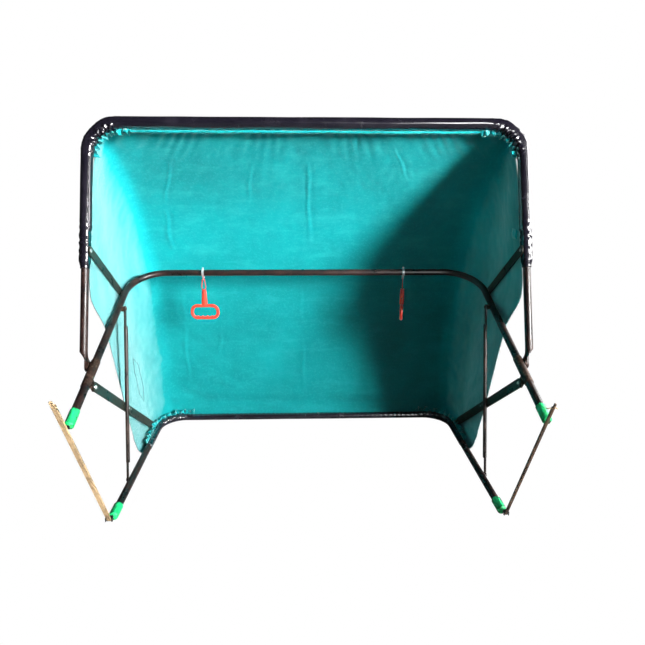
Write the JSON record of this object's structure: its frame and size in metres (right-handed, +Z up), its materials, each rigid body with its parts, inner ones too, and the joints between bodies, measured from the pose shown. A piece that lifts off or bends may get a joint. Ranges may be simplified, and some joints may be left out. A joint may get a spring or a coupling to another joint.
{
  "type": "golf chipping net",
  "caption": "Free-standing chipping target: nested folding tube hoops on green feet hold a bellied cloth catcher, with pull handles hung in its mouth.",
  "frame": {"origin": "on the ground, at the centre of the object's footprint box", "axes": "+Z up, +X across the mouth to the player's right, the open mouth faces -Y and the cloth bellies out towards +Y"},
  "size_m": [1.079, 0.7258, 0.9345],
  "materials": {
    "tube": "dark brown-black satin paint on steel tube, worn at edges",
    "worn_steel": "bare and rusted pressed steel",
    "flat_bar": "olive-black painted flat bar",
    "rod": "black-brown painted rod",
    "foot_cap": "bright green moulded caps",
    "black_plastic": "black moulded plastic",
    "tie_strip": "tan painted strip, chipped and mottled",
    "bright_steel": "bright plated rivets and bolts",
    "chrome": "chromed hook",
    "red_cord": "red plastic-covered cord",
    "red_plastic": "red-orange moulded plastic",
    "vinyl": "glossy black padded vinyl sleeve",
    "cloth": "teal felt-like woven cloth"
  },
  "bodies": {
    "base": {"base_hoop": "tube", "base_sleeve": "vinyl", "catch_cloth": "cloth", "base_foot_left": "foot_cap", "base_foot_right": "foot_cap", "tie_clip_left": "black_plastic", "tie_clip_right": "black_plastic", "tie_pins": "bright_steel", "strut_bottom_bolts": "worn_steel", "cross_bottom_bolts": "bright_steel", "cross_bottom_spacers": "worn_steel"},
    "middle": {"middle_hoop": "tube", "middle_foot_left": "foot_cap", "middle_foot_right": "foot_cap", "leg_bracket_left": "worn_steel", "leg_bracket_right": "worn_steel", "rim_pivot_pin_left": "bright_steel", "rim_pivot_pin_right": "bright_steel", "sole_pad_left": "black_plastic", "sole_pad_right": "black_plastic", "prop_studs": "bright_steel", "strut_top_bolts": "worn_steel", "strut_top_spacers": "worn_steel"},
    "rim": {"rim_hoop": "tube", "rim_sleeve": "vinyl", "rim_leg_end_left": "tube", "rim_leg_end_right": "tube"},
    "strut_left": {"strut_left": "rod"},
    "cross_left": {"cross_link_left": "flat_bar", "cross_rivet_left": "bright_steel"},
    "prop_left": {"prop_link_left": "flat_bar", "prop_rivet_left": "bright_steel"},
    "tie_left": {"tie_bar_left": "tie_strip"},
    "hook_left": {"handle_hook_left": "chrome"},
    "pull_left": {"handle_swivel_left": "chrome", "handle_loop_left": "red_cord", "handle_grip_left": "red_plastic", "handle_screw_left": "worn_steel"},
    "strut_right": {"strut_right": "rod"},
    "cross_right": {"cross_link_right": "flat_bar", "cross_rivet_right": "bright_steel"},
    "prop_right": {"prop_link_right": "flat_bar", "prop_rivet_right": "bright_steel"},
    "tie_right": {"tie_bar_right": "tie_strip"},
    "hook_right": {"handle_hook_right": "chrome"},
    "pull_right": {"handle_swivel_right": "chrome", "handle_loop_right": "red_cord", "handle_grip_right": "red_plastic", "handle_screw_right": "worn_steel"}
  },
  "joints": [
    {"name": "base_fold", "type": "hinge", "parent": "base", "child": "strut_left", "pos_m": [0, -0.057, 0.011], "axis": [1, 0, 0], "range_deg": [-20, 0], "deforming": ["catch_cloth"]},
    {"name": "strut_right_swing", "type": "hinge", "parent": "base", "child": "strut_right", "pos_m": [0, -0.057, 0.011], "axis": [1, 0, 0], "range_deg": [-20.01, 0]},
    {"name": "cross_left_swing", "type": "hinge", "parent": "base", "child": "cross_left", "pos_m": [0, 0.246, 0.017], "axis": [1, 0, 0], "range_deg": [-19.05, 0]},
    {"name": "cross_right_swing", "type": "hinge", "parent": "base", "child": "cross_right", "pos_m": [0, 0.246, 0.017], "axis": [1, 0, 0], "range_deg": [-19.05, 0]},
    {"name": "middle_swing", "type": "hinge", "parent": "strut_left", "child": "middle", "pos_m": [0, 0.05468, 0.45411], "axis": [1, 0, 0], "range_deg": [-20.7, 0], "deforming": ["catch_cloth"]},
    {"name": "rim_fold", "type": "hinge", "parent": "middle", "child": "rim", "pos_m": [0, -0.15671, 0.3714], "axis": [1, 0, 0], "range_deg": [-46, 0], "deforming": ["catch_cloth"]},
    {"name": "prop_left_swing", "type": "hinge", "parent": "middle", "child": "prop_left", "pos_m": [0, 0.12639, 0.48216], "axis": [1, 0, 0], "range_deg": [0, 54.61]},
    {"name": "tie_left_swing", "type": "hinge", "parent": "base", "child": "tie_left", "pos_m": [0, -0.227, 0.009], "axis": [1, 0, 0], "range_deg": [0, 66]},
    {"name": "prop_right_swing", "type": "hinge", "parent": "middle", "child": "prop_right", "pos_m": [0, 0.12639, 0.48216], "axis": [1, 0, 0], "range_deg": [0, 54.61]},
    {"name": "tie_right_swing", "type": "hinge", "parent": "base", "child": "tie_right", "pos_m": [0, -0.227, 0.009], "axis": [1, 0, 0], "range_deg": [0, 66]},
    {"name": "hook_left_swing", "type": "hinge", "parent": "middle", "child": "hook_left", "pos_m": [-0.3, 0.218, 0.518], "axis": [1, 0, 0], "range_deg": [-60, 33]},
    {"name": "pull_left_turn", "type": "hinge", "parent": "hook_left", "child": "pull_left", "pos_m": [-0.3, 0.218, 0.518], "axis": [0, 0, 1], "continuous": true},
    {"name": "hook_right_swing", "type": "hinge", "parent": "middle", "child": "hook_right", "pos_m": [0.285, 0.218, 0.518], "axis": [1, 0, 0], "range_deg": [-60, 33]},
    {"name": "pull_right_turn", "type": "hinge", "parent": "hook_right", "child": "pull_right", "pos_m": [0.285, 0.218, 0.518], "axis": [0, 0, 1], "continuous": true}
  ],
  "couplings": [
    {"joint": "strut_right_swing", "follows": "base_fold", "ratio": 1},
    {"joint": "cross_left_swing", "follows": "base_fold", "ratio": 0.9519},
    {"joint": "cross_right_swing", "follows": "base_fold", "ratio": 0.9519},
    {"joint": "middle_swing", "follows": "base_fold", "ratio": 1.0343},
    {"joint": "prop_left_swing", "follows": "rim_fold", "ratio": -1.187},
    {"joint": "prop_right_swing", "follows": "rim_fold", "ratio": -1.187}
  ]
}
